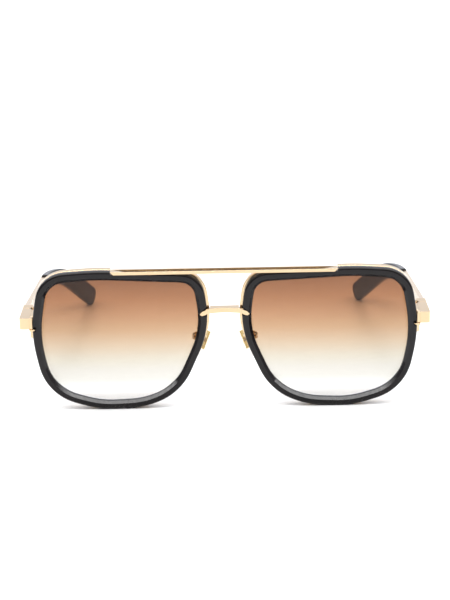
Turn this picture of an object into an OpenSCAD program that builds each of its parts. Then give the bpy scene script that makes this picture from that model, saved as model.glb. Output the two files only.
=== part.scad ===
// Square navigator-style aviator sunglasses: black acetate rims held in front of a gold metal
// chassis, with gradient lenses, a double bridge, adjustable nose pads and folding temples.
//
// Axes: +X towards the wearer's left, +Y from the front towards the ears, +Z up.
// Inside the modules y = 0 is the front face of the acetate rims and z = 0 is the height of the
// lens centres. place() moves the whole design so that it stands on z = 0.

/* [Front] */
// Distance between the lens centres
lens_pitch = 77; // [72:0.5:80]
// Thickness of the acetate rims, front to back
rim_t = 2.6; // [2:0.1:3]
// Width of the flat front band of the acetate rims at the sides
rim_flat = 2.1; // [1.8:0.1:2.4]
// Width and depth of the polished bevel round each lens
rim_bevel = 1.1; // [0.8:0.1:1.2]
// Depth of the metal eyewires behind the acetate
wire_t = 3.4; // [3.2:0.1:4]

/* [Lenses] */
// Radius of the front surface
lens_r = 300; // [250:10:400]
// Thickness of the lens
lens_t = 1.9; // [1.8:0.1:2.2]

/* [Brow bar and bridge] */
// Length of the brow bar
bar_l = 83.8; // [80:0.2:88]
// Height of the brow bar
bar_h = 1.1; // [1:0.1:1.4]
// Height of the lower bridge
bridge_h = 1.8; // [1.4:0.1:2]

/* [Hinges and temples] */
// Overall width over the end pieces
front_w = 152.4; // [150:0.2:156]
// Height of the end pieces and of the temples beside them
end_h = 4.2; // [3.8:0.1:4.6]
// Depth from the rim face to the joint between end piece and temple
hinge_y = 14.6; // [13:0.1:16]
// Radius of the hinge barrels
barrel_r = 1.5; // [1.3:0.1:1.6]
// Radius of the hinge screws
hinge_screw_r = 0.6; // [0.5:0.05:0.7]
// Thickness of the metal temple bars
bar_t = 2; // [1.6:0.1:2.4]
// Depth at which the acetate tip sleeves begin
tip_start_y = 96; // [92:1:99]
// Depth at which the temples end
tip_end_y = 146.4; // [145:0.1:147]
// Thickness of the acetate tip sleeves
tip_t = 3.2; // [3:0.1:3.6]

/* [Nose pads] */
// Length of a nose pad
pad_l = 14; // [12:0.5:15]
// Width of a nose pad
pad_w = 7.6; // [7:0.2:8.4]
// Inward lean of the tops of the pads
pad_lean = 24; // [20:1:28]
// Turn of the pads away from straight fore and aft
pad_splay = 28; // [20:1:32]

/* [Hidden] */
$fn = 32;

gold = "#e2b978";
black = "#1c1b1e";
brown = "#b98560";
clear_pad = "#efe9dd";

eps = 0.01;             // overshoot of cutting shapes
fit = 0.03;             // running clearance of screws and pivots
left = 1;
right = -1;

// ---- Outline of one acetate rim, as corners [x, z, radius]; x grows away from the nose ----
rim_corners = [
    [-30.2, 23.3, 9], [-33.1, 2.5, 34], [-22, -22.3, 23], [-8.5, -28, 30], [8.5, -28.75, 36],
    [28.7, -22.7, 19], [33.7, 1.5, 50], [30, 23.9, 11.5], [9, 25.2, 90]
];
arc_step = 5.5;         // largest turn between two stations, in degrees

function unit(v) = v / norm(v);
function clamp01(t) = min(1, max(0, t));
function turn_between(a, b) = let (d = b - a) d > 180 ? d - 360 : d < -180 ? d + 360 : d;

// Stations [arc centre, radius, direction] along the rounded corner p between neighbours a and b
function corner_stations(a, p, b) =
    let (
        at = [p.x, p.y],
        u = unit([a.x, a.y] - at),
        w = unit([b.x, b.y] - at),
        half = acos(u * w) / 2,
        centre = at + unit(u + w) * p.z / sin(half),
        from = at + u * p.z / tan(half) - centre,
        to = at + w * p.z / tan(half) - centre,
        start = atan2(from.y, from.x),
        turn = turn_between(start, atan2(to.y, to.x)),
        steps = ceil(abs(turn) / arc_step)
    )
    [for (i = [0:steps]) [centre, p.z, start + turn * i / steps]];

stations = let (n = len(rim_corners))
    [for (i = [0:n - 1])
        each corner_stations(rim_corners[(i + n - 1) % n], rim_corners[i], rim_corners[(i + 1) % n])];

// Point of a station, d inside the acetate's outer edge
function inset(s, d) = s[0] + (s[1] - d) * [cos(s[2]), sin(s[2])];

// How far the metal shows past the acetate: most beside the nose, none along the bottom
wire_show_top = 0.1;
wire_show_nose = 0.8;
wire_tuck = 0.15;
function wire_lip(s) =
    let (
        high = clamp01((inset(s, 0).y + 8) / 16),
        nose = max(0, -cos(s[2]))
    )
    high * (wire_show_top + wire_show_nose * nose) - wire_tuck * (1 - high);

// The acetate is broader above than below: low is what is added at the bottom
swell_top = 0.4;
flat_low = 0;
in_low = -0.1;
function swell(s, low) = low + (swell_top - low) * clamp01((inset(s, 0).y + 10) / 25);

lens_z = -min([for (s = stations) inset(s, 0).y]);
rim_top = max([for (s = stations) inset(s, 0).y]);
rim_in = rim_flat + rim_bevel;
wire_back = rim_t + wire_t;

// ---- Levels shared by several pieces ----
bar_top = rim_top - 0.25;
bar_low = bar_top - bar_h;
bar_front = -0.8;
bar_back = 4.2;
wire_in = 2.3;          // inset of the eyewire's inner edge
groove_in = 1.6;        // inset of the bottom of the lens groove
groove_y = [3.85, 4.5];
out_x = front_w / 2;
end_z = 5.3;            // middle height of the end pieces
end_low = end_z - end_h / 2;
end_top = end_z + end_h / 2;
lug_x = [70.4, 72.4];
lug_low = -0.8;
split_z = 2.35;         // height of the split that the closing screw pulls shut
split_gap = 0.1;
hinge_x = 71.9;
butt_gap = 0.05;

module place() {
    translate([0, -mid_y, lens_z]) children();
}

// side = 1 builds the wearer's left half as drawn, side = -1 mirrors it to the right
module sided(side) {
    mirror([side < 0 ? 1 : 0, 0, 0]) children();
}

module at_lens() {
    translate([lens_pitch / 2, 0, 0]) children();
}

module box(x, y, z) {
    translate([x[0], y[0], z[0]]) cube([x[1] - x[0], y[1] - y[0], z[1] - z[0]]);
}

// Shape drawn in x and z, extruded from y[0] back to y[1]
module upright(y) {
    translate([0, y[1], 0]) rotate([90, 0, 0]) linear_extrude(y[1] - y[0]) children();
}

function mean(points) = [for (k = [0:2]) [for (p = points) p[k]] * [for (p = points) 1] / len(points)];

// Two triangles for each cell between loop i and loop next, m points to a loop
function band(i, next, m) = [
    for (j = [0:m - 1])
        let (k = (j + 1) % m)
        each [[i * m + j, i * m + k, next * m + k], [i * m + j, next * m + k, next * m + j]]
];

// Closed solid through a row of loops, with both ends capped
module loft(loops) {
    n = len(loops);
    m = len(loops[0]);
    points = [for (loop = loops) each loop];
    polyhedron(
        points = concat(points, [mean(loops[0]), mean(loops[n - 1])]),
        faces = concat(
            [for (i = [0:n - 2]) each band(i, i + 1, m)],
            [for (j = [0:m - 1]) [n * m, (j + 1) % m, j]],
            [for (j = [0:m - 1]) [n * m + 1, (n - 1) * m + j, (n - 1) * m + (j + 1) % m]]
        ),
        convexity = 6
    );
}

// Round tube of radius r through a row of points
tube_sides = 12;
function tube_loop(path, i, r) =
    let (
        last = len(path) - 1,
        ahead = unit(path[min(i + 1, last)] - path[max(i - 1, 0)]),
        across = unit(cross(ahead, [0, 0, 1])),
        up = cross(across, ahead)
    )
    [for (j = [0:tube_sides - 1])
        let (a = 360 * j / tube_sides)
        path[i] + r * (across * cos(a) + up * sin(a))];

module tube(path, r) {
    loft([for (i = [0:len(path) - 1]) tube_loop(path, i, r)]);
}

// Closed ring through a row of loops, the last joined to the first
module hoop(loops) {
    n = len(loops);
    polyhedron(
        points = [for (loop = loops) each loop],
        faces = [for (i = [0:n - 1]) each band(i, (i + 1) % n, len(loops[0]))],
        convexity = 10
    );
}

function ring_point(s, d, y) = let (p = inset(s, d)) [p.x, y, p.y];

// ---- Acetate rims ----
module rim_body() {
    ease = 0.5;
    hoop([
        for (s = stations) [
            ring_point(s, 0, ease),
            ring_point(s, ease, 0),
            ring_point(s, rim_flat + swell(s, flat_low), 0),
            ring_point(s, rim_in + swell(s, in_low), rim_bevel),
            ring_point(s, rim_in + swell(s, in_low), rim_t),
            ring_point(s, 0, rim_t)
        ]
    ]);
}

// Notch in the nose side of a rim, which the bridge claw reaches through
notch_depth = 1.9;
module bridge_notch() {
    upright([-1, notch_depth])
        polygon([[-36, 7.3], [-28.4, 7.3], [-28.4, 7.9], [-32.5, 11.1], [-36, 13.8]]);
}

// Open recess in the temple side of a rim, and the room beside it for the end piece and its claw
end_block_x = 71.35;
end_claw_y = [-0.3, 0.7];
recess_in = 1.4;
recess_depth = 1.5;
claw_tip_x = 70.2;
module end_notch() {
    x0 = end_block_x - 0.05 - lens_pitch / 2;
    box([x0 - recess_in, 40], [-1, recess_depth], [end_low - 0.1, end_top - 0.5]);
    box([x0, 40], [-1, rim_t + 1], [end_low - 0.05, end_top + 0.05]);
    box([claw_tip_x - 0.1 - lens_pitch / 2, 40], [-1, end_claw_y[1] + 0.05],
        [end_low - 0.8, end_low]);
}

// Seat under the brow bar, cut in a rim and in the eyewire behind it
module brow_seat() {
    box([-40, (bar_l - lens_pitch) / 2], [-1, wire_back + 1], [bar_low, 40]);
}

module rim(side) {
    color(black) place() sided(side) at_lens() difference() {
        rim_body();
        bridge_notch();
        end_notch();
        brow_seat();
    }
}

// ---- Lenses: two spherical faces and a thin tongue that sits in the eyewire groove ----
lens_front = 1.9;
lens_edge_in = 2.35;
function lens_y(x, z, y0) = y0 + lens_r - sqrt(lens_r * lens_r - x * x - z * z);
function lens_loop(d, scale, y0) = [
    for (s = stations) let (p = inset(s, d) * scale) [p.x, lens_y(p.x, p.y, y0), p.y]
];
function flat_loop(d, y) = [for (s = stations) ring_point(s, d, y)];

module lens(side) {
    tongue = groove_in + 0.05;
    shrink = [0.3, 0.6, 0.82];
    color(brown, 0.55) place() sided(side) at_lens() loft(concat(
        [for (k = shrink) lens_loop(lens_edge_in, k, lens_front)],
        [lens_loop(lens_edge_in, 1, lens_front)],
        [for (d = [lens_edge_in, tongue]) flat_loop(d, groove_y[0] + 0.03)],
        [for (d = [tongue, lens_edge_in]) flat_loop(d, groove_y[1] - 0.03)],
        [lens_loop(lens_edge_in, 1, lens_front + lens_t)],
        [for (k = [2:-1:0]) lens_loop(lens_edge_in, shrink[k], lens_front + lens_t)]
    ));
}

// ---- Metal eyewires ----
screw_room = 0.5;       // gap under the lower lug for the closing screw's head
module outline(d) {
    polygon([for (s = stations) inset(s, d)]);
}

module eyewire(side) {
    color(gold) place() sided(side) difference() {
        at_lens() difference() {
            upright([rim_t, wire_back]) polygon([for (s = stations) inset(s, -wire_lip(s))]);
            upright([rim_t - 1, wire_back + 1]) outline(wire_in);
            upright(groove_y) outline(groove_in);
            brow_seat();
        }
        box([lug_x[0], 80], [rim_t - 1, wire_back + 1], [lug_low - screw_room, end_top]);
        box([60, 80], [rim_t - 1, wire_back + 1], [split_z - split_gap, split_z]);
    }
}

// ---- Brow bar: a flat bar with a long channel in its top and slanted ends ----
channel_y = [-0.3, 3];
channel_depth = 0.45;
channel_ramp = 4.5;
end_slant = 1.2;
module brow_bar() {
    half = bar_l / 2;
    floor_half = half - 5.4;
    color(gold) place() difference() {
        upright([bar_front, bar_back]) polygon([
            [-half, bar_top], [half, bar_top], [half - end_slant, bar_low], [end_slant - half, bar_low]
        ]);
        upright(channel_y) polygon([
            [-floor_half - channel_ramp, bar_top + eps], [-floor_half, bar_top - channel_depth],
            [floor_half, bar_top - channel_depth], [floor_half + channel_ramp, bar_top + eps]
        ]);
    }
}

// ---- Lower bridge: narrow in the middle, with a leaf-shaped claw over each rim ----
bridge_top = 10;
bridge_wide = [-0.2, 5];
bridge_narrow = [1.45, 4.8];
bridge_half = 6.9;
module bridge_plan() {
    steps = 12;
    // 0 in the middle of the bridge and 1 at its ends
    function flare(t) = pow(abs(t), 1.6);
    function edge(k, t) = bridge_narrow[k] + (bridge_wide[k] - bridge_narrow[k]) * flare(t);
    ts = [for (i = [-steps:steps]) i / steps];
    polygon(concat(
        [for (t = ts) [t * bridge_half, edge(0, t)]],
        [for (i = [2 * steps:-1:0]) [ts[i] * bridge_half, edge(1, ts[i])]]
    ));
}

// Leaf: two shallow arcs that meet in a point over the inner edge of the rim
module claw() {
    leaf = [
        [6.2, 8.45], [6.2, 10], [7.1, 9.5], [8.1, 9.2], [8.9, 8.7],
        [9.35, 8.05], [8.9, 7.6], [7.9, 7.45], [7.1, 7.9]
    ];
    upright([-0.35, notch_depth - 0.2]) polygon(leaf);
}

module bridge() {
    color(gold) place() {
        difference() {
            translate([0, 0, bridge_top - bridge_h]) linear_extrude(bridge_h) bridge_plan();
            for (side = [left, right]) sided(side) wire_shadow();
        }
        for (side = [left, right]) sided(side) claw();
    }
}

// Room for the rim and the eyewire beside the ends of the bridge
module wire_shadow() {
    box([5.4, 10], [notch_depth - 0.2, wire_back], [0, 12]);
}

// ---- End pieces, with the front hinge knuckles ----
knuckles = 5;
knuckle_gap = 0.05;
knuckle_h = (end_h - (knuckles - 1) * knuckle_gap) / knuckles;
function knuckle_z(i) = end_low + i * (knuckle_h + knuckle_gap);

// Knuckles first, first + 2, ... of the barrel, each grown by grow in radius and by extra in height
module barrel(first, grow, extra) {
    for (i = [first:2:knuckles - 1])
        translate([hinge_x, hinge_y, knuckle_z(i) - extra])
            cylinder(r = barrel_r + grow, h = knuckle_h + 2 * extra, $fn = 48);
}

module hinge_bore(r) {
    translate([hinge_x, hinge_y, end_low - 1]) cylinder(r = r, h = end_h + 2, $fn = 48);
}

module end_piece(side) {
    block_y = [0.4, 2.9];
    claw = [
        [lug_x[1] + 0.1, end_low + 0.1], [claw_tip_x + 0.5, end_low], [claw_tip_x, end_low - 0.05],
        [claw_tip_x + 0.7, end_low - 0.55], [lug_x[1] + 0.1, end_low - 0.7]
    ];
    color(gold) place() sided(side) difference() {
        union() {
            difference() {
                box([lug_x[1], out_x], [block_y[0], hinge_y - butt_gap], [end_low, end_top]);
                barrel(1, 0.15, knuckle_gap);
            }
            box([end_block_x, lug_x[1]], block_y, [end_low, end_top]);
            upright(end_claw_y) polygon(claw);
            barrel(0, 0, 0);
            for (i = [0:2:knuckles - 1])
                box([hinge_x, lug_x[1] + 0.5], [hinge_y - barrel_r, hinge_y - butt_gap],
                    [knuckle_z(i), knuckle_z(i) + knuckle_h]);
        }
        hinge_bore(hinge_screw_r + fit);
    }
}

// ---- Lugs that close the eyewire round the lens, and their screws ----
close_x = 71.4;
close_y = 4.4;
close_r = 0.5;
module closing_bore() {
    translate([close_x, close_y, lug_low - 1]) cylinder(r = close_r + fit, h = 6.2, $fn = 32);
}

module upper_lug(side) {
    color(gold) place() sided(side) difference() {
        box(lug_x, [3, hinge_y - barrel_r - 0.3], [split_z, end_top]);
        closing_bore();
    }
}

module lower_lug(side) {
    color(gold) place() sided(side) difference() {
        box(lug_x, [3, wire_back], [lug_low, split_z - split_gap]);
        closing_bore();
    }
}

// Round slotted screw with its head at the bottom
module screw(r, length, head_r, head_h) {
    slot = head_r * 0.35;
    difference() {
        union() {
            cylinder(r = r, h = length, $fn = 32);
            translate([0, 0, -head_h]) cylinder(r = head_r, h = head_h, $fn = 32);
        }
        translate([-head_r - 1, -slot / 2, -head_h - 1]) cube([2 * head_r + 2, slot, 1 + head_h / 2]);
    }
}

module closing_screws() {
    color(gold) place() for (side = [left, right]) sided(side)
        translate([close_x, close_y, lug_low]) screw(close_r, 4.8, 0.8, 0.45);
}

module hinge_screws() {
    color(gold) place() for (side = [left, right]) sided(side)
        translate([hinge_x, hinge_y, end_top]) rotate([180, 0, 0])
            screw(hinge_screw_r, end_h - 0.2, 1.1, 0.4);
}

// ---- Nose pads: the pad frame has its pivot at the origin and the nose on its -x side ----
pad_at = [10.5, 10, -3.8];
module at_pad() {
    translate(pad_at) rotate([0, 0, -pad_splay]) rotate([0, -pad_lean, 0]) children();
}

pivot_r = 0.4;
box_out = 1.2;
box_half_w = 1.3;
box_half_h = 1.2;
cheek = 0.55;
lug_half_w = 0.45;

// Point of the pad frame in the frame of the front
function from_pad(p) =
    let (
        leant = [
            p.x * cos(pad_lean) - p.z * sin(pad_lean), p.y, p.x * sin(pad_lean) + p.z * cos(pad_lean)
        ]
    )
    pad_at + [
        leant.x * cos(pad_splay) + leant.y * sin(pad_splay),
        leant.y * cos(pad_splay) - leant.x * sin(pad_splay),
        leant.z
    ];

arm_r = 0.5;
arm_path = [
    [7.4, wire_back, -2.2], [7.4, 6.8, -2.2], [8.3, 7.6, -1.7], [9.5, 7.9, -1.4], [10.8, 8.1, -1.5],
    [11.8, 8.5, -2.1], from_pad([box_out + 0.6, 0, 0.15]), from_pad([box_out + 0.2, 0, 0]),
    from_pad([box_out, 0, 0])
];
module pad_arm(side) {
    color(gold) place() sided(side) tube(arm_path, arm_r);
}

module pad_box(side) {
    color(gold) place() sided(side) at_pad() difference() {
        box([-0.9, box_out], [-box_half_w, box_half_w], [-box_half_h, box_half_h]);
        box([-2, box_out - 0.3], [-cheek, cheek], [-2, 2]);
        rotate([90, 0, 0]) cylinder(r = pivot_r, h = 4, center = true, $fn = 32);
    }
}

module pad_screws() {
    color(gold) place() for (side = [left, right]) sided(side) at_pad()
        translate([0, -box_half_w, 0]) rotate([-90, 0, 0]) screw(pivot_r, 2 * box_half_w, 0.7, 0.3);
}

// Metal core moulded into the pad, with the ear that the pad screw passes through
core_x = [-3.85, -3.35];
ear_half_h = 0.75;
module pad_insert_shape() {
    box(core_x, [-1.6, 1.6], [-3.6, 3.6]);
    box([core_x[1] - 0.1, 0], [-lug_half_w, lug_half_w], [-ear_half_h, ear_half_h]);
    rotate([90, 0, 0]) cylinder(r = ear_half_h, h = 2 * lug_half_w, center = true, $fn = 32);
}

module pad_insert(side) {
    color(gold) place() sided(side) at_pad() difference() {
        pad_insert_shape();
        rotate([90, 0, 0]) cylinder(r = pivot_r + fit, h = 4, center = true, $fn = 32);
    }
}

// Soft pad: a rounded shell, fuller below than above, with a crowned nose side
pad_back = -2.45;
function pad_loop(size, x) = [
    for (i = [0:19])
        let (
            a = i * 18,
            wide = pad_w / 2 * (1 - 0.16 * sin(a))
        )
        [x, size * wide * cos(a), size * pad_l / 2 * sin(a)]
];
module nose_pad(side) {
    color(clear_pad, 0.6) place() sided(side) at_pad() difference() {
        loft([
            pad_loop(0.75, pad_back),
            pad_loop(0.95, pad_back - 0.25),
            pad_loop(1, pad_back - 0.7),
            pad_loop(0.94, pad_back - 1.35),
            pad_loop(0.75, pad_back - 2),
            pad_loop(0.4, pad_back - 2.5)
        ]);
        pad_insert_shape();
    }
}

// ---- Temples ----
temple_in = -0.01;      // inward run of the straight part, per unit of depth
temple_fall = 0.121;    // downward run of the straight part
ear_in = 0.41;          // extra inward run past the ear bend
ear_fall = 0.571;       // extra downward run past the ear bend
bend_in_y = 105;
bend_fall_y = 119;
bend_soft = 4;

// Rises from 0 and settles to y - at, as a smooth bend
function past(y, at) = bend_soft * ln(1 + exp((y - at) / bend_soft));
function temple_out(y) = out_x - temple_in * (y - hinge_y) - ear_in * past(y, bend_in_y);
function temple_z(y) = end_z - temple_fall * (y - hinge_y) - ear_fall * past(y, bend_fall_y);
function temple_mid(y) = [temple_out(y) - tip_t / 2, y, temple_z(y)];

core_r = 0.7;
core_ys = [tip_start_y - 1, 100, 105, 112, 119, 126, 134];
core_path = [for (y = core_ys) temple_mid(y)];

// Straight metal bar from the hinge block to the sleeve, whose front end leans with the temple
bar_start = 3;
bar_short = 0.28;
module metal_bar() {
    run_y = tip_start_y - hinge_y - bar_start - bar_short;
    intersection() {
        translate([temple_out(hinge_y) - bar_t, hinge_y, end_low])
            multmatrix([[1, -temple_in, 0, 0], [0, 1, 0, 0], [0, -temple_fall, 1, 0], [0, 0, 0, 1]])
                translate([0, bar_start, 0]) cube([bar_t, run_y, end_h]);
        box([60, 80], [0, 100], [-40, 40]);
    }
}

module temple_bar(side) {
    block_l = 4.5;
    color(gold) place() sided(side) difference() {
        union() {
            difference() {
                box([lug_x[1] + 0.2, out_x], [hinge_y + butt_gap, hinge_y + block_l], [end_low, end_top]);
                barrel(0, 0.15, knuckle_gap);
            }
            metal_bar();
            tube(core_path, core_r);
            barrel(1, 0, 0);
            for (i = [1:2:knuckles - 1])
                box([hinge_x, lug_x[1] + 0.7], [hinge_y + butt_gap, hinge_y + barrel_r],
                    [knuckle_z(i), knuckle_z(i) + knuckle_h]);
        }
        hinge_bore(hinge_screw_r + fit);
    }
}

// Height of the sleeve: slim at the front, a paddle at the ear
tip_h_front = 5.6;
tip_h_end = 8.2;
tip_h_run = 42;
function tip_h(y) = tip_h_front + (tip_h_end - tip_h_front) * clamp01((y - tip_start_y) / tip_h_run);
// 1 along the sleeve and a quarter ellipse over its last few millimetres
end_round = 2.4;
function rounding(y) = let (t = clamp01((y - tip_end_y + end_round) / end_round)) sqrt(1 - 0.985 * t * t);

function tip_loop(y) =
    let (
        ahead = unit(temple_mid(y + 0.5) - temple_mid(y - 0.5)),
        across = unit(cross(ahead, [0, 0, 1])),
        up = cross(across, ahead),
        h = tip_h(y) / 2 * rounding(y),
        w = tip_t / 2 * (0.55 + 0.45 * rounding(y)),
        section = [
            [1, 0.62], [0.86, 0.86], [0.55, 1], [-0.55, 1], [-0.86, 0.86], [-1, 0.62],
            [-1, -0.62], [-0.86, -0.86], [-0.55, -1], [0.55, -1], [0.86, -0.86], [1, -0.62]
        ]
    )
    [for (q = section) temple_mid(y) + across * q.x * w + up * q.y * h];

tip_ys = [
    tip_start_y, 101, 105, 109, 113, 117, 121, 125, 131, 138, tip_end_y - end_round,
    tip_end_y - 1.4, tip_end_y - 0.7, tip_end_y - 0.25, tip_end_y
];
// Middle of the whole depth, from the brow bar to the ends of the sleeves
mid_y = (bar_front + max([for (y = tip_ys) each [for (p = tip_loop(y)) p.y]])) / 2;

module temple_tip(side) {
    color(black) place() sided(side) difference() {
        loft([for (y = tip_ys) tip_loop(y)]);
        tube(core_path, core_r + fit);
    }
}

rim(left);  // rim_left
rim(right);  // rim_right
lens(left);  // lens_left
lens(right);  // lens_right
eyewire(left);  // eyewire_left
eyewire(right);  // eyewire_right
brow_bar();
bridge();
end_piece(left);  // end_piece_left
end_piece(right);  // end_piece_right
upper_lug(left);  // upper_lug_left
upper_lug(right);  // upper_lug_right
lower_lug(left);  // lower_lug_left
lower_lug(right);  // lower_lug_right
closing_screws();
hinge_screws();
pad_arm(left);  // pad_arm_left
pad_arm(right);  // pad_arm_right
pad_box(left);  // pad_box_left
pad_box(right);  // pad_box_right
pad_screws();
nose_pad(left);  // nose_pad_left
nose_pad(right);  // nose_pad_right
pad_insert(left);  // pad_insert_left
pad_insert(right);  // pad_insert_right
temple_bar(left);  // temple_bar_left
temple_bar(right);  // temple_bar_right
temple_tip(left);  // temple_tip_left
temple_tip(right);  // temple_tip_right
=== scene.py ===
"""Looks of the square aviator sunglasses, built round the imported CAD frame."""

import math

import bmesh
import bpy
import numpy as np
from mathutils import Euler, Matrix, Vector


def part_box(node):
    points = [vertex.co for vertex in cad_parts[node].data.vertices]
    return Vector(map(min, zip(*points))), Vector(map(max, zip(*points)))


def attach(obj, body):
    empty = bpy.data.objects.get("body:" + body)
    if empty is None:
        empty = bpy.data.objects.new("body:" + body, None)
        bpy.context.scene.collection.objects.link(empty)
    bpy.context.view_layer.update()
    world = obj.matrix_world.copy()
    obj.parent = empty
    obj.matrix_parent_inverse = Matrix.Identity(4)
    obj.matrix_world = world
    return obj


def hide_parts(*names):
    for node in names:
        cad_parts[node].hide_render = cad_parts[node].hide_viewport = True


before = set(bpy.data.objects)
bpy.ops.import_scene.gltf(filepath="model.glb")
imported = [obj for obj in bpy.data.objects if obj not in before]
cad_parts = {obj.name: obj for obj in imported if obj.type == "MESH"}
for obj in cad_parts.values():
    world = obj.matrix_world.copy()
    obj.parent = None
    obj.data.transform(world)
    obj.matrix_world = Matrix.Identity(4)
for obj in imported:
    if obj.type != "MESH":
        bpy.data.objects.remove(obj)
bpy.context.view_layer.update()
scene = bpy.context.scene

MM = 0.001

# ---- Design frame ----
# Millimetres, with x from the middle, y from the face of the rims and z from the lens centres
LENS_X = 38.5
RIM_T = 2.6              # depth of the acetate, front to back
RIM_FLAT = 2.1           # width of its flat front band
RIM_BEVEL = 1.1          # width of the bevel inside the band
RIM_IN = RIM_FLAT + RIM_BEVEL
WIRE_BACK = 6.0          # back of the metal eyewires
GROOVE = (3.85, 4.5)     # front and back of the lens groove
OUT_X = 76.2             # outer face of the end pieces and hinge blocks
END_LOW, END_TOP = 3.2, 7.4
END_Z = (END_LOW + END_TOP) / 2
END_BLOCK_X = 71.35      # inner side of the end piece's front block
END_CLAW_X, END_CLAW_Y = 70.2, (-0.3, 0.7)
LUG_X, LUG_LOW = (70.4, 72.4), -0.8
SPLIT = (2.25, 2.35)     # the slit that lets an eyewire open
CLOSE = (71.4, 4.4)      # x and y of the closing screws
HINGE = (71.9, 14.6)     # x and y of the hinge screws
BARREL_R = 1.5
BAR_T = 2.0              # thickness of the temple bars
TIP_T = 3.2              # thickness of the sleeves
TIP_START, TIP_END = 96.0, 146.4

# Corners of a rim's outline as (x, z, radius); x grows away from the nose
RIM_CORNERS = [
    (-30.2, 23.3, 9), (-33.1, 2.5, 34), (-22, -22.3, 23), (-8.5, -28, 30), (8.5, -28.75, 36),
    (28.7, -22.7, 19), (33.7, 1.5, 50), (30, 23.9, 11.5), (9, 25.2, 90),
]
OUTLINE_POINTS = 320
ARC_STEP = 0.6           # spacing of the points along the outline's corners
SOFTEN = 1.2             # reach of the smoothing that blends the arcs into each other


def unit(v):
    return v / np.linalg.norm(v)


def corner_arc(a, corner, b, count=None):
    """Points along a rounded corner (x, y, radius) between its neighbours a and b."""
    at, radius = np.array(corner[:2], float), corner[2]
    u, w = unit(np.array(a[:2]) - at), unit(np.array(b[:2]) - at)
    half = math.acos(max(-1, min(1, float(u @ w)))) / 2
    centre = at + unit(u + w) * radius / math.sin(half)
    start, end = (at + v * radius / math.tan(half) - centre for v in (u, w))
    first = math.atan2(start[1], start[0])
    turn = (math.atan2(end[1], end[0]) - first + math.pi) % (2 * math.pi) - math.pi
    count = count or max(2, int(abs(turn) * radius / ARC_STEP))
    angles = first + turn * np.linspace(0, 1, count)
    return centre + radius * np.stack([np.cos(angles), np.sin(angles)], 1)


def even(points, count):
    """A closed line through points, as count points spaced evenly, and their spacing."""
    closed = np.vstack([points, points[:1]])
    length = np.concatenate([[0], np.cumsum(np.linalg.norm(np.diff(closed, axis=0), axis=1))])
    at = np.arange(count) * length[-1] / count
    return np.stack([np.interp(at, length, closed[:, k]) for k in (0, 1)], 1), length[-1] / count


def softened(points, reach):
    """The closed line blurred along itself, so that its curvature runs on without a jump."""
    line, gap = even(points, OUTLINE_POINTS)
    shift = np.fft.fftfreq(OUTLINE_POINTS, 1 / OUTLINE_POINTS) * gap
    kernel = np.exp(-0.5 * (shift / reach) ** 2)
    blur = np.fft.fft(kernel / kernel.sum())
    return np.stack([np.fft.ifft(np.fft.fft(line[:, k]) * blur).real for k in (0, 1)], 1)


arcs = [
    corner_arc(RIM_CORNERS[i - 1], corner, RIM_CORNERS[(i + 1) % len(RIM_CORNERS)])
    for i, corner in enumerate(RIM_CORNERS)
]
OUTLINE = even(softened(np.vstack(arcs), SOFTEN), OUTLINE_POINTS)[0]
ahead = np.roll(OUTLINE, -1, 0) - np.roll(OUTLINE, 1, 0)
ahead /= np.linalg.norm(ahead, axis=1)[:, None]
OUTWARD = np.stack([-ahead[:, 1], ahead[:, 0]], 1)
if (OUTWARD * OUTLINE).sum() < 0:
    OUTWARD = -OUTWARD
RIM_TOP = OUTLINE[:, 1].max()

# The brow bar's top and underside, and half its length
BAR_TOP = RIM_TOP - 0.25
BAR_LOW = BAR_TOP - 1.1
BAR_HALF = 41.9

FACE_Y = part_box("rim_left")[0].y
LENS_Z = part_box("rim_left")[0].z - OUTLINE[:, 1].min() * MM


def inset(d):
    """The outline moved inwards by d, one distance or one for each point."""
    return OUTLINE - OUTWARD * np.broadcast_to(d, OUTLINE_POINTS)[:, None]


def rise(low, high):
    """For each outline point: 0 up to the height low, 1 from high on, and a smooth rise between."""
    t = np.clip((OUTLINE[:, 1] - low) / (high - low), 0, 1)
    return t * t * (3 - 2 * t)


# ---- Mesh making, in design millimetres ----
def solid(points, faces):
    """Mesh with its faces turned outwards."""
    mesh = bpy.data.meshes.new("solid")
    mesh.from_pydata([tuple(p) for p in points], [], [tuple(int(i) for i in f) for f in faces])
    bm = bmesh.new()
    bm.from_mesh(mesh)
    bmesh.ops.recalc_face_normals(bm, faces=bm.faces)
    bm.to_mesh(mesh)
    bm.free()
    return mesh


def band(low, high, m):
    """Faces between two loops of m points that start at low and high."""
    return [(low + j, low + (j + 1) % m, high + (j + 1) % m, high + j) for j in range(m)]


def loft(loops, closed=False):
    """Surface through a row of loops: a ring if closed, and otherwise a solid with a fan at each end."""
    m, n = len(loops[0]), len(loops)
    points = [tuple(p) for loop in loops for p in loop]
    faces = []
    for i in range(n if closed else n - 1):
        faces += band(i * m, (i + 1) % n * m, m)
    if not closed:
        for first, loop in ((0, loops[0]), ((n - 1) * m, loops[-1])):
            points.append(tuple(np.mean(loop, axis=0)))
            faces += [(first + j, first + (j + 1) % m, len(points) - 1) for j in range(m)]
    return solid(points, faces)


def ring(section):
    """Ring round a lens. section is a closed profile of (d, y), with d inside the outline."""
    loops = [[(p[0], y, p[1]) for p in inset(d)] for d, y in section]
    return loft(loops, closed=True)


def rounded(corners, steps=4):
    """Closed polygon of (u, v, radius) corners, with each corner rounded."""
    out = []
    for i, corner in enumerate(corners):
        if corner[2] == 0:
            out.append(corner[:2])
            continue
        arc = corner_arc(corners[i - 1], corner, corners[(i + 1) % len(corners)], steps + 1)
        out += [tuple(p) for p in arc]
    return out


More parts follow.
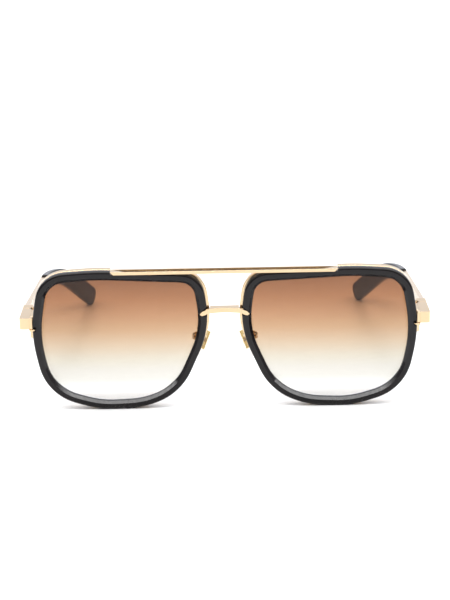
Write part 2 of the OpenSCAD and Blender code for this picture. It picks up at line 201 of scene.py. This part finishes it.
def prism(outline, low, high, axis="y"):
    """Outline drawn in x and z (axis y), or in x and y (axis z), drawn out from low to high."""
    def at(p, level):
        return (p[0], level, p[1]) if axis == "y" else (p[0], p[1], level)

    m = len(outline)
    points = [at(p, low) for p in outline] + [at(p, high) for p in outline]
    faces = band(0, m, m) + [tuple(range(m)), tuple(range(2 * m - 1, m - 1, -1))]
    return solid(points, faces)


def block(x, y, z):
    """Box that runs from low to high on each axis."""
    return prism([(x[0], z[0]), (x[1], z[0]), (x[1], z[1]), (x[0], z[1])], y[0], y[1])


def rod(centre, radius, low, high, sides=64):
    """Upright cylinder."""
    a = np.arange(sides) * 2 * math.pi / sides
    outline = [(centre[0] + radius * math.cos(t), centre[1] + radius * math.sin(t)) for t in a]
    return prism(outline, low, high, axis="z")


def evaluated(mesh, modifiers):
    """The mesh after modifiers, given as (kind, settings) pairs."""
    piece = bpy.data.objects.new("work", mesh)
    scene.collection.objects.link(piece)
    for kind, settings in modifiers:
        modifier = piece.modifiers.new(kind, kind)
        for key, value in settings.items():
            setattr(modifier, key, value)
    depsgraph = bpy.context.evaluated_depsgraph_get()
    result = bpy.data.meshes.new_from_object(piece.evaluated_get(depsgraph))
    bpy.data.objects.remove(piece)
    return result


def boolean(mesh, others, operation):
    tools = [bpy.data.objects.new("tool", other) for other in others]
    for tool in tools:
        scene.collection.objects.link(tool)
    result = evaluated(mesh, [
        ("BOOLEAN", {"operation": operation, "solver": "EXACT", "object": tool}) for tool in tools
    ])
    for tool in tools:
        bpy.data.objects.remove(tool)
    return result


def cut(mesh, *others):
    return boolean(mesh, others, "DIFFERENCE")


def fused(mesh, *others):
    return boolean(mesh, others, "UNION")


def eased(mesh, width, steps=3, angle=32):
    """The mesh with its sharp edges rounded."""
    return evaluated(mesh, [("BEVEL", {
        "width": width, "segments": steps, "limit_method": "ANGLE",
        "angle_limit": math.radians(angle), "miter_outer": "MITER_ARC",
    })])


def moved(mesh, matrix):
    copy = mesh.copy()
    copy.transform(matrix)
    if matrix.determinant() < 0:
        copy.flip_normals()
    return copy


def joined(*meshes):
    """Several meshes in one, without touching their faces."""
    bm = bmesh.new()
    for mesh in meshes:
        bm.from_mesh(mesh)
    result = bpy.data.meshes.new("joined")
    bm.to_mesh(result)
    bm.free()
    return result


MIRROR = Matrix.Scale(-1, 4, (1, 0, 0))
TO_LENS = Matrix.Translation((LENS_X, 0, 0))
TO_ROW = Matrix.Translation((0, FACE_Y, LENS_Z)) @ Matrix.Scale(MM, 4)


def place(name, mesh, material, body, smooth=35):
    """Puts a finished mesh in the row frame, riding on its body in place of its CAD node."""
    mesh = moved(mesh, TO_ROW)
    mesh.name = name
    mesh.polygons.foreach_set("use_smooth", [True] * len(mesh.polygons))
    mesh.set_sharp_from_angle(angle=math.radians(smooth))
    mesh.materials.clear()
    mesh.materials.append(material)
    piece = bpy.data.objects.new(name, mesh)
    scene.collection.objects.link(piece)
    shading = piece.modifiers.new("shading", "WEIGHTED_NORMAL")
    shading.keep_sharp = True
    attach(piece, body)
    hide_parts(name.replace(".look", ""))


def place_pair(name, mesh, material, body="front", smooth=35):
    """The left piece and its mirror image on the right. body may hold {} for the side."""
    for word, shape in (("left", mesh), ("right", moved(mesh, MIRROR))):
        place(f"{name}_{word}.look", shape, material, body.format(word), smooth=smooth)


# ---- Materials ----
def new_material(name):
    material = bpy.data.materials.new(name)
    material.use_nodes = True
    tree = material.node_tree
    return material, tree, tree.nodes["Principled BSDF"]


def add(tree, kind, inputs=None, **settings):
    """New node. Each input is set to a value, or linked if it is given another node's output."""
    node = tree.nodes.new(kind)
    for key, value in settings.items():
        setattr(node, key, value)
    for key, value in (inputs or {}).items():
        if isinstance(value, bpy.types.NodeSocket):
            tree.links.new(value, node.inputs[key])
        else:
            node.inputs[key].default_value = value
    return node


def ramp(tree, factor, stops):
    """Output of a colour ramp through stops of (position, colour)."""
    node = add(tree, "ShaderNodeValToRGB", {"Fac": factor})
    elements = node.color_ramp.elements
    while len(elements) < len(stops):
        elements.new(0.5)
    for element, (at, colour) in zip(elements, stops):
        element.position = at
        element.color = (*colour, 1)
    return node.outputs["Color"]


def grey(value):
    return (value, value, value)


def noise(tree, scale, detail=4, stretch=(1, 1, 1)):
    """Noise over the piece itself. scale counts features per metre, and stretch draws them out."""
    place_on = add(tree, "ShaderNodeTexCoord").outputs["Object"]
    spread = add(tree, "ShaderNodeMapping", {"Vector": place_on, "Scale": stretch})
    grain = add(tree, "ShaderNodeTexNoise", {"Vector": spread.outputs[0], "Scale": scale, "Detail": detail})
    return grain.outputs["Fac"]


def height_on_piece(tree):
    place_on = add(tree, "ShaderNodeTexCoord").outputs["Object"]
    return add(tree, "ShaderNodeSeparateXYZ", {"Vector": place_on}).outputs["Z"]


def set_bump(tree, shader, height, strength, distance):
    node = add(tree, "ShaderNodeBump", {"Height": height, "Strength": strength, "Distance": distance})
    tree.links.new(node.outputs["Normal"], shader.inputs["Normal"])


def make_acetate():
    """Black acetate, hand polished: a hint of cloudy depth, faint swirls and very fine scratches."""
    material, tree, shader = new_material("polished black acetate")
    cloud = noise(tree, 160, 3)
    colour = ramp(tree, cloud, [(0.3, (0.004, 0.003, 0.0034)), (0.7, (0.008, 0.006, 0.0068))])
    tree.links.new(colour, shader.inputs["Base Color"])
    wear = noise(tree, 900, 5, (1, 1, 0.25))
    tree.links.new(ramp(tree, wear, [(0.35, grey(0.07)), (0.75, grey(0.16))]), shader.inputs["Roughness"])
    shader.inputs["IOR"].default_value = 1.38
    set_bump(tree, shader, noise(tree, 2400, 2), 0.05, 0.00004)
    # Painted shade: the acetate mirrors less of the room towards the foot of the rims than at their top,
    # darkening the foot as if it reflected shaded floor
    gloss = add(tree, "ShaderNodeMapRange", {
        "Value": height_on_piece(tree), "From Max": 0.018, "To Min": 0.3, "To Max": 0.5,
    })
    tree.links.new(gloss.outputs["Result"], shader.inputs["Specular IOR Level"])
    return material


def make_gold(name, tint, low, high, grain):
    """Plated metal: a warm tint that drifts a little, brushed lines too fine to see singly."""
    material, tree, shader = new_material(name)
    drift = noise(tree, 70, 3)
    darker = tuple(c * k for c, k in zip(tint, (0.975, 0.955, 0.92)))
    tree.links.new(ramp(tree, drift, [(0.3, darker), (0.7, tint)]), shader.inputs["Base Color"])
    shader.inputs["Metallic"].default_value = 1
    lines = noise(tree, 1500, 4, grain)
    tree.links.new(ramp(tree, lines, [(0.3, grey(low)), (0.7, grey(high))]), shader.inputs["Roughness"])
    set_bump(tree, shader, lines, 0.04, 0.00002)
    return material


def make_lens():
    """Tinted lens: brown at the top, nearly clear at the bottom, tinted once at each face."""
    material, tree, shader = new_material("gradient lens")
    tree.nodes.remove(shader)
    low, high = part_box("lens_left")[0].z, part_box("lens_left")[1].z
    height = add(tree, "ShaderNodeMapRange", {
        "Value": height_on_piece(tree), "From Min": low, "From Max": high,
    })
    tint = ramp(tree, height.outputs["Result"], [
        (0.0, (0.95, 0.94, 0.925)),
        (0.08, (0.93, 0.92, 0.905)),
        (0.12, (0.89, 0.885, 0.865)),
        (0.18, (0.80, 0.795, 0.765)),
        (0.26, (0.765, 0.75, 0.715)),
        (0.34, (0.74, 0.71, 0.645)),
        (0.45, (0.715, 0.63, 0.53)),
        (0.57, (0.67, 0.53, 0.40)),
        (0.685, (0.62, 0.45, 0.325)),
        (0.8, (0.55, 0.37, 0.255)),
        (0.94, (0.46, 0.30, 0.205)),
        (1.0, (0.43, 0.28, 0.19)),
    ])
    clear = add(tree, "ShaderNodeBsdfTransparent", {"Color": tint})
    smudge = noise(tree, 40, 2)
    gloss = add(tree, "ShaderNodeBsdfGlossy", {
        "Color": (1, 1, 1, 1),
        "Roughness": ramp(tree, smudge, [(0.3, grey(0.02)), (0.7, grey(0.05))]),
    })
    mirror = add(tree, "ShaderNodeFresnel", {"IOR": 1.4})
    surface = add(tree, "ShaderNodeMixShader", {
        0: mirror.outputs[0], 1: clear.outputs[0], 2: gloss.outputs[0],
    })
    tree.links.new(surface.outputs[0], tree.nodes["Material Output"].inputs["Surface"])
    return material


def make_pad():
    """Clear soft pad: see-through, with a milky skin that thickens towards its edges."""
    material, tree, shader = new_material("clear pad")
    shader.inputs["Base Color"].default_value = (0.93, 0.91, 0.86, 1)
    shader.inputs["IOR"].default_value = 1.42
    skin = noise(tree, 700, 3)
    tree.links.new(ramp(tree, skin, [(0.3, grey(0.12)), (0.7, grey(0.24))]), shader.inputs["Roughness"])
    set_bump(tree, shader, skin, 0.08, 0.00005)
    clear = add(tree, "ShaderNodeBsdfTransparent", {"Color": (0.965, 0.955, 0.93, 1)})
    edge = add(tree, "ShaderNodeLayerWeight", {"Blend": 0.35})
    share = ramp(tree, edge.outputs["Facing"], [(0.0, grey(0.10)), (1.0, grey(0.55))])
    surface = add(tree, "ShaderNodeMixShader", {0: share, 1: clear.outputs[0], 2: shader.outputs[0]})
    tree.links.new(surface.outputs[0], tree.nodes["Material Output"].inputs["Surface"])
    return material


def make_floor():
    material, _, shader = new_material("white table")
    shader.inputs["Base Color"].default_value = (0.86, 0.86, 0.86, 1)
    shader.inputs["Roughness"].default_value = 0.3
    shader.inputs["IOR"].default_value = 2.0
    return material


ACETATE = make_acetate()
GOLD = make_gold("pale gold plating", (0.75, 0.57, 0.365), 0.10, 0.19, (1, 1, 1))
BRUSHED = make_gold("brushed gold plating", (0.74, 0.56, 0.36), 0.14, 0.26, (0.08, 1, 1))
SCREW_GOLD = make_gold("gold screws", (0.7, 0.51, 0.3), 0.16, 0.28, (1, 1, 1))
CORE_GOLD = make_gold("pad core gold", (0.8, 0.58, 0.16), 0.12, 0.22, (1, 1, 1))
LENS = make_lens()
PAD = make_pad()


# ---- Acetate rims ----
def rim():
    """Flat front band and a bevel round the lens, both broader above than below."""
    high = rise(-10, 15)
    flat = RIM_FLAT + 0.4 * high
    bevel = RIM_BEVEL - 0.1 + 0.1 * high
    plain = rounded([
        (0, 0, 0.9), (RIM_FLAT, 0, 0.12), (RIM_IN, RIM_BEVEL, 0.1), (RIM_IN, RIM_T, 0.15), (0, RIM_T, 0.1),
    ], 5)
    section = []
    for d, y in plain:
        on_band, on_bevel = min(1, d / RIM_FLAT), max(0, d - RIM_FLAT) / RIM_BEVEL
        section.append((on_band * flat + on_bevel * bevel, y))
    body = ring(section)
    claw_room = prism([(-36, 7.3), (-28.4, 7.3), (-28.4, 7.9), (-32.5, 11.1), (-36, 13.8)], -1, 1.9)
    # Room for the end piece: its edge over the rim, its front block and its claw
    gap = 0.05
    block_x = END_BLOCK_X - gap - LENS_X
    claw_x = END_CLAW_X - 2 * gap - LENS_X
    end_room = [
        block((block_x - 1.4, 40), (-1, 1.5), (END_LOW - 0.1, END_TOP - 0.5)),
        block((block_x, 40), (-1.1, RIM_T + 1.1), (END_LOW - gap, END_TOP + gap)),
        block((claw_x, 40), (-1.2, END_CLAW_Y[1] + gap), (END_LOW - 0.8, END_LOW)),
    ]
    bar_seat = block((-40, BAR_HALF - LENS_X), (-1.3, WIRE_BACK + 1), (BAR_LOW, 40))
    return moved(cut(body, claw_room, *end_room, bar_seat), TO_LENS)


# ---- Metal eyewires ----
def wire_lip():
    """How far the metal shows past the acetate, for each point of the outline."""
    high = rise(-8, 8)
    nose = np.maximum(0, -OUTWARD[:, 0])
    shown_above, more_at_nose, hidden_below = 0.1, 0.8, 0.15
    return high * (shown_above + more_at_nose * nose) - hidden_below * (1 - high)


def eyewire():
    """Grooved ring, with a seat for the brow bar, room for the lugs and the slit between them."""
    outer = rounded([(1, WIRE_BACK, 0), (0, WIRE_BACK, 0.45), (0, RIM_T, 0.3), (1, RIM_T, 0)], 5)
    section = [(u - wire_lip(), y) for u, y in outer if u < 0.9]
    inside, groove_floor = 2.3, 1.6
    section += [
        (inside, RIM_T), (inside, GROOVE[0]), (groove_floor, GROOVE[0]), (groove_floor, GROOVE[1]),
        (inside, GROOVE[1]), (inside, 4.9), (1.7, WIRE_BACK),
    ]
    body = moved(ring(section), TO_LENS)
    seat = block((-10, BAR_HALF), (RIM_T - 1, WIRE_BACK + 1), (BAR_LOW, 40))
    lug_room = block((LUG_X[0], 80), (RIM_T - 1.1, WIRE_BACK + 1.1), (LUG_LOW - 0.5, END_TOP))
    split = block((60, 80.5), (RIM_T - 1.2, WIRE_BACK + 1.2), SPLIT)
    return cut(body, seat, lug_room, split)


# ---- Lenses ----
LENS_R = 300.0           # radius of both faces
LENS_FRONT, LENS_T = 1.9, 1.9
LENS_EDGE = 2.35         # where the faces end
TONGUE_EDGE = 1.65       # how far the tongue reaches into the groove


def lens():
    """Two spherical faces, and a thin tongue that sits in the eyewire's groove."""
    edge = inset(LENS_EDGE)

    def face(scale, front):
        p = edge * scale
        sag = LENS_R - np.sqrt(LENS_R ** 2 - (p ** 2).sum(1))
        return [(x, front + s, z) for (x, z), s in zip(p, sag)]

    scales = [0.08, 0.2, 0.32, 0.44, 0.56, 0.68, 0.78, 0.87, 0.94, 0.98, 1.0]
    loops = [face(k, LENS_FRONT) for k in scales]
    front, back = GROOVE[0] + 0.03, GROOVE[1] - 0.03
    for d, y in ((LENS_EDGE, front), (TONGUE_EDGE, front), (TONGUE_EDGE, back), (LENS_EDGE, back)):
        loops.append([(p[0], y, p[1]) for p in inset(d)])
    loops += [face(k, LENS_FRONT + LENS_T) for k in reversed(scales)]
    return moved(loft(loops), TO_LENS)


# ---- Brow bar ----
def brow_bar():
    """Flat bar with slanted ends, and a long channel in its top that runs out at both ends."""
    slant = 1.2
    channel_y, channel_depth = (-0.3, 3.0), 0.45
    floor_half = BAR_HALF - 5.4
    rim_half = floor_half + 4.5
    bar = eased(prism([
        (-BAR_HALF, BAR_TOP), (BAR_HALF, BAR_TOP), (BAR_HALF - slant, BAR_LOW), (slant - BAR_HALF, BAR_LOW),
    ], -0.8, 4.2), 0.12)
    channel = prism([
        (-rim_half, BAR_TOP + 0.01), (-floor_half, BAR_TOP - channel_depth),
        (floor_half, BAR_TOP - channel_depth), (rim_half, BAR_TOP + 0.01),
        (rim_half, BAR_TOP + 1), (-rim_half, BAR_TOP + 1),
    ], *channel_y)
    # The channel is cut after the bar's edges are rounded, so its floor stays flat
    return eased(cut(bar, channel), 0.02, 2, angle=40)


# ---- Lower bridge ----
BRIDGE_TOP, BRIDGE_H = 10.0, 1.8


def bridge():
    """Hourglass bar, with a leaf-shaped claw over each rim."""
    half, wide, narrow = 6.9, (-0.2, 5.0), (1.45, 4.8)
    t = np.linspace(-1, 1, 49)
    flare = np.abs(t) ** 1.6
    front, back = (n + (w - n) * flare for n, w in zip(narrow, wide))
    plan = list(zip(t * half, front)) + list(zip(t[::-1] * half, back[::-1]))
    bar = prism(plan, BRIDGE_TOP - BRIDGE_H, BRIDGE_TOP, axis="z")
    leaf = rounded([
        (6.2, 8.45, 0), (6.2, 10, 0), (7.1, 9.55, 0.3), (8.3, 9.1, 0.9),
        (9.35, 8.0, 0.25), (8.4, 7.42, 0.5), (7.1, 7.8, 0.5),
    ], 5)
    claw = prism(leaf, -0.35, 1.7)
    room = block((5.4, 10), (1.7, WIRE_BACK), (0, 12))
    body = cut(bar, room, moved(room, MIRROR))
    return eased(fused(body, claw, moved(claw, MIRROR)), 0.25, angle=30)


# ---- End pieces, lugs and hinges ----
KNUCKLES = 5
KNUCKLE_GAP = 0.05
KNUCKLE_H = (END_TOP - END_LOW - (KNUCKLES - 1) * KNUCKLE_GAP) / KNUCKLES
BUTT_GAP = 0.05          # between the end piece and the temple, when open
HINGE_BORE_R = 0.63
CLOSE_BORE_R = 0.53


def knuckle_z(i):
    low = END_LOW + i * (KNUCKLE_H + KNUCKLE_GAP)
    return low, low + KNUCKLE_H


def knuckle(i, y, reach_x):
    """One knuckle of the barrel, with the web that joins it to its plate."""
    low, high = knuckle_z(i)
    web = block((HINGE[0], reach_x), y, (low, high))
    body = fused(rod(HINGE, BARREL_R, low, high), web)
    return eased(cut(body, rod(HINGE, HINGE_BORE_R, low - 1, high + 1, 32)), 0.06, 2)


def knuckle_room(i):
    """What a plate leaves free for a knuckle of the other side."""
    low, high = knuckle_z(i)
    return rod(HINGE, BARREL_R + 0.15, low - KNUCKLE_GAP, high + KNUCKLE_GAP)


def end_piece():
    """Side plate and front block, a claw under the rim's recess, and three knuckles."""
    back = HINGE[1] - BUTT_GAP
    plate = prism(rounded([
        (LUG_X[1], 0.4, 0), (OUT_X, 0.4, 1.2), (OUT_X, back, 0), (LUG_X[1], back, 0),
    ], 6), END_LOW, END_TOP, axis="z")
    plate = cut(plate, *[knuckle_room(i) for i in range(1, KNUCKLES, 2)])
    front = block((END_BLOCK_X, LUG_X[1] + 0.05), (0.4, 2.9), (END_LOW, END_TOP))
    claw = prism([
        (LUG_X[1] + 0.1, END_LOW + 0.1), (END_CLAW_X + 0.5, END_LOW), (END_CLAW_X, END_LOW - 0.05),
        (END_CLAW_X + 0.7, END_LOW - 0.55), (LUG_X[1] + 0.1, END_LOW - 0.7),
    ], *END_CLAW_Y)
    parts = [eased(plate, 0.22, 4), eased(front, 0.16), eased(claw, 0.14)]
    barrel_y = (HINGE[1] - BARREL_R, back)
    parts += [knuckle(i, barrel_y, LUG_X[1] + 0.5) for i in range(0, KNUCKLES, 2)]
    return joined(*parts)


def lug(back, low, high):
    """Block behind the rim at one side of the slit, bored for the closing screw."""
    body = block(LUG_X, (3, back), (low, high))
    return eased(cut(body, rod(CLOSE, CLOSE_BORE_R, LUG_LOW - 1, 5.2, 32)), 0.12)


def upper_lug():
    return lug(HINGE[1] - BARREL_R - 0.3, SPLIT[1], END_TOP)


def lower_lug():
    return lug(WIRE_BACK, LUG_LOW, SPLIT[0])


def screw(r, length, head_r, head_h):
    """Slotted screw that points up, with its head just under z = 0."""
    head = eased(rod((0, 0), head_r, -head_h, 0, 48), head_h * 0.3)
    half_slot = head_r * 0.175
    slot = block((-head_r - 1, head_r + 1), (-half_slot, half_slot), (-head_h - 1, -head_h / 2))
    shank = rod((0, 0), r, -0.05, length, 32)
    return joined(cut(head, slot), shank)


def both(mesh):
    """The mesh and its mirror image."""
    return joined(mesh, moved(mesh, MIRROR))


def closing_screws():
    return both(moved(screw(0.5, 4.8, 0.8, 0.45), Matrix.Translation((*CLOSE, LUG_LOW))))


def hinge_screws():
    upside_down = Matrix.Rotation(math.pi, 4, "X") @ Matrix.Rotation(0.6, 4, "Z")
    turned = Matrix.Translation((*HINGE, END_TOP)) @ upside_down
    return both(moved(screw(0.6, END_TOP - END_LOW - 0.2, 1.1, 0.4), turned))


# ---- Nose pads ----
PAD_LEAN, PAD_SPLAY = math.radians(24), math.radians(28)
PAD_AT = Vector((10.5, 10, -3.8))
PAD_TURN = Matrix.Rotation(-PAD_SPLAY, 4, "Z") @ Matrix.Rotation(-PAD_LEAN, 4, "Y")
TO_PAD = Matrix.Translation(PAD_AT) @ PAD_TURN
PIVOT_R = 0.4
PAD_BACK = -2.45         # side of the pad that faces its box


def lying_rod(radius, low, high, sides=32):
    """Cylinder along y through the origin."""
    return moved(rod((0, 0), radius, low, high, sides), Matrix.Rotation(-math.pi / 2, 4, "X"))


def smooth_path(points, count):
    """Points spaced along a smooth curve through the given ones."""
    p = np.array(points, float)
    p = np.vstack([2 * p[0] - p[1], p, 2 * p[-1] - p[-2]])
    out = []
    for i in range(1, len(p) - 2):
        for t in np.linspace(0, 1, count, endpoint=False):
            a, b, c, d = p[i - 1:i + 3]
            square, cube = 2 * a - 5 * b + 4 * c - d, 3 * b - a - 3 * c + d
            out.append(0.5 * (2 * b + (c - a) * t + square * t ** 2 + cube * t ** 3))
    return np.array(out + [p[-2]])


def tube(path, radius, sides=20):
    """Round wire along a path."""
    loops = []
    for i, at in enumerate(path):
        forward = unit(path[min(i + 1, len(path) - 1)] - path[max(i - 1, 0)])
        across = unit(np.cross(forward, (0, 0, 1)))
        up = np.cross(across, forward)
        a = np.arange(sides) * 2 * math.pi / sides
        loops.append([at + radius * (across * math.cos(t) + up * math.sin(t)) for t in a])
    return loft(loops)


def pad_arm():
    """Wire that leaves the eyewire, loops back and comes round behind the pad."""
    route = [
        (7.4, WIRE_BACK, -2.2), (7.4, 6.8, -2.2), (8.3, 7.6, -1.7), (9.5, 7.9, -1.4), (10.8, 8.1, -1.5),
        (11.8, 8.5, -2.1), TO_PAD @ Vector((1.8, 0, 0.15)), TO_PAD @ Vector((1.4, 0, 0)),
        TO_PAD @ Vector((1.2, 0, 0)),
    ]
    return tube(smooth_path(route, 5), 0.5)


def pad_box():
    """Small box with a slot for the pad's ear and a bore for its screw."""
    body = cut(
        block((-0.9, 1.2), (-1.3, 1.3), (-1.2, 1.2)),
        block((-2, 0.9), (-0.55, 0.55), (-2, 2)),
        lying_rod(PIVOT_R, -2, 2),
    )
    return moved(eased(body, 0.14), TO_PAD)


def pad_screws():
    turned = TO_PAD @ Matrix.Translation((0, -1.3, 0)) @ Matrix.Rotation(-math.pi / 2, 4, "X")
    return both(moved(screw(PIVOT_R, 2.6, 0.7, 0.3), turned))


def pad_insert():
    """Metal plate inside the pad, with the ear that hangs in the box."""
    plate = eased(block((-3.85, -3.35), (-1.6, 1.6), (-3.6, 3.6)), 0.2)
    ear = fused(lying_rod(0.75, -0.45, 0.45), block((-3.45, 0), (-0.45, 0.45), (-0.75, 0.75)))
    ear = eased(cut(ear, lying_rod(PIVOT_R + 0.03, -2, 2)), 0.08, 2)
    return moved(joined(plate, ear), TO_PAD)


def nose_pad():
    """Soft drop-shaped pad, fuller below than above, crowned on the side that meets the nose."""
    sides = 64
    a = np.arange(sides) * 2 * math.pi / sides
    rows = [
        (0.30, 0), (0.62, -0.02), (0.80, -0.08), (0.90, -0.2), (0.965, -0.4), (1.0, -0.7), (0.995, -1.0),
        (0.955, -1.33), (0.88, -1.68), (0.76, -2.0), (0.60, -2.28), (0.42, -2.46), (0.2, -2.56),
    ]
    y, z = 3.8 * (1 - 0.16 * np.sin(a)) * np.cos(a), 7 * np.sin(a)
    loops = [[(PAD_BACK + depth, size * p, size * q) for p, q in zip(y, z)] for size, depth in rows]
    return moved(loft(loops), TO_PAD)


# ---- Temples ----
TEMPLE_IN, TEMPLE_FALL = -0.01, 0.121       # inward and downward run of the straight part
EAR_IN, EAR_FALL = 0.41, 0.571              # what the ear bend adds to each
BEND_IN, BEND_FALL, BEND_SOFT = 105.0, 119.0, 4.0


def past(y, at):
    """Rises from 0 and settles to y - at, as a smooth bend."""
    return BEND_SOFT * math.log(1 + math.exp((y - at) / BEND_SOFT))


def temple_mid(y):
    """Middle of the sleeve at depth y."""
    out = OUT_X - TEMPLE_IN * (y - HINGE[1]) - EAR_IN * past(y, BEND_IN)
    z = END_Z - TEMPLE_FALL * (y - HINGE[1]) - EAR_FALL * past(y, BEND_FALL)
    return np.array([out - TIP_T / 2, y, z])


def temple_bar():
    """Hinge block and the long flat bar that runs into the sleeve."""
    hinge_block = block((LUG_X[1] + 0.2, OUT_X), (HINGE[1] + BUTT_GAP, HINGE[1] + 4.5), (END_LOW, END_TOP))
    hinge_block = cut(hinge_block, *[knuckle_room(i) for i in range(0, KNUCKLES, 2)])
    sheared = Matrix((
        (1, -TEMPLE_IN, 0, OUT_X - BAR_T), (0, 1, 0, HINGE[1]), (0, -TEMPLE_FALL, 1, END_LOW), (0, 0, 0, 1),
    ))
    bar = moved(block((0, BAR_T), (3, TIP_START - HINGE[1]), (0, END_TOP - END_LOW)), sheared)
    parts = [eased(hinge_block, 0.22, 4), eased(bar, 0.3, 4)]
    barrel_y = (HINGE[1] + BUTT_GAP, HINGE[1] + BARREL_R)
    parts += [knuckle(i, barrel_y, LUG_X[1] + 0.7) for i in range(1, KNUCKLES, 2)]
    return joined(*parts)


def squared_circle(power, sides=48):
    """Unit circle drawn out towards its square."""
    a = np.arange(sides) * 2 * math.pi / sides
    both_ways = np.stack([np.cos(a), np.sin(a)], 1)
    return np.sign(both_ways) * np.abs(both_ways) ** power


def temple_tip():
    """Acetate sleeve: slim at the front, bent down behind the ear, with a round end."""
    start_round, end_round, start_ease = 0.5, 2.4, 0.4
    height, growth, growth_run = 5.6, 2.6, 42
    quarter = math.pi / 2
    ys = [
        *(TIP_START + start_round * (1 - np.cos(np.linspace(0, quarter, 5)))),
        *np.linspace(TIP_START + 1.5, TIP_END - 3.4, 44),
        *(TIP_END - end_round + end_round * np.sin(np.linspace(0, quarter, 14)))[1:],
    ]
    section = squared_circle(0.42)
    loops = []
    for y in ys:
        forward = unit(temple_mid(y + 0.5) - temple_mid(y - 0.5))
        across = unit(np.cross(forward, (0, 0, 1)))
        up = np.cross(across, forward)
        early = max(0, 1 - (y - TIP_START) / start_round)
        late = max(0, (y - TIP_END + end_round) / end_round)
        close = math.sqrt(max(0.015, 1 - late * late))
        slimmer = start_ease * (1 - math.sqrt(1 - early * early))
        full = height + growth * min(1, (y - TIP_START) / growth_run)
        h = full / 2 * close - slimmer
        w = TIP_T / 2 * (0.55 + 0.45 * close) - slimmer
        loops.append([temple_mid(y) + across * (q[0] * w) + up * (q[1] * h) for q in section])
    return loft(loops)


place_pair("rim", rim(), ACETATE, smooth=24)
place_pair("eyewire", eyewire(), GOLD, smooth=32)
place_pair("lens", lens(), LENS)
place("brow_bar.look", brow_bar(), GOLD, "front")
place("bridge.look", bridge(), GOLD, "front")
place_pair("end_piece", end_piece(), GOLD)
place_pair("upper_lug", upper_lug(), GOLD)
place_pair("lower_lug", lower_lug(), GOLD)
place("closing_screws.look", closing_screws(), SCREW_GOLD, "front")
place("hinge_screws.look", hinge_screws(), SCREW_GOLD, "front")
place_pair("pad_arm", pad_arm(), GOLD)
place_pair("pad_box", pad_box(), GOLD)
place("pad_screws.look", pad_screws(), SCREW_GOLD, "front")
place_pair("pad_insert", pad_insert(), CORE_GOLD, "pad_{}")
place_pair("nose_pad", nose_pad(), PAD, "pad_{}", smooth=60)
place_pair("temple_bar", temple_bar(), BRUSHED, "temple_{}")
place_pair("temple_tip", temple_tip(), ACETATE, "temple_{}", smooth=60)


# ---- Floor, light and camera ----
def stage():
    half = 4.0
    corners = [(-half, -half, 0), (half, -half, 0), (half, half, 0), (-half, half, 0)]
    mesh = bpy.data.meshes.new("floor")
    mesh.from_pydata(corners, [], [(0, 1, 2, 3)])
    mesh.materials.append(make_floor())
    floor = bpy.data.objects.new("floor", mesh)
    scene.collection.objects.link(floor)


def softbox(name, at, aim, size, watts):
    lamp = bpy.data.lights.new(name, "AREA")
    lamp.shape = "RECTANGLE"
    lamp.size, lamp.size_y = size
    lamp.energy = watts
    holder = bpy.data.objects.new(name, lamp)
    holder.location = at
    holder.rotation_euler = (Vector(aim) - Vector(at)).to_track_quat("-Z", "Y").to_euler()
    scene.collection.objects.link(holder)


def set_world():
    """Bright wall behind the glasses, a dark room behind the camera, and a still brighter ceiling."""
    world = bpy.data.worlds.new("studio")
    world.use_nodes = True
    tree = world.node_tree
    direction = add(tree, "ShaderNodeTexCoord").outputs["Generated"]
    at = add(tree, "ShaderNodeSeparateXYZ", {"Vector": direction})
    side = ramp(tree, add(tree, "ShaderNodeMapRange", {
        "Value": at.outputs["Y"], "From Min": -1.0, "From Max": 1.0,
    }).outputs["Result"], [(0.0, grey(0.16)), (0.35, grey(0.5)), (0.6, (1.0, 1.03, 1.12))])
    above = add(tree, "ShaderNodeMapRange", {"Value": at.outputs["Z"], "From Min": 0.45, "From Max": 0.75})
    light = add(tree, "ShaderNodeMix", {
        "Factor": above.outputs["Result"], 6: side, 7: (2.2, 2.2, 2.2, 1),
    }, data_type="RGBA")
    tree.links.new(light.outputs[2], tree.nodes["Background"].inputs["Color"])
    scene.world = world


def set_camera():
    """Camera 0.7 m away and 17 degrees above the front, a little tilted as it was held."""
    elevation, distance, roll = math.radians(17), 0.7, math.radians(-1.0)
    target = Vector((0, FACE_Y, LENS_Z))
    camera = bpy.data.cameras.new("camera")
    camera.lens = 113.2
    camera.sensor_width = 36
    camera.shift_y = 0.058
    holder = bpy.data.objects.new("camera", camera)
    holder.location = target + distance * Vector((0, -math.cos(elevation), math.sin(elevation)))
    aim = (target - holder.location).to_track_quat("-Z", "Y")
    holder.rotation_euler = (aim @ Euler((0, 0, roll)).to_quaternion()).to_euler()
    scene.collection.objects.link(holder)
    scene.camera = holder


stage()
set_world()
softbox("overhead", (0, -0.35, 1.1), (0, FACE_Y, 0), (4.4, 0.10), 18)
set_camera()
scene.view_settings.view_transform = "Standard"
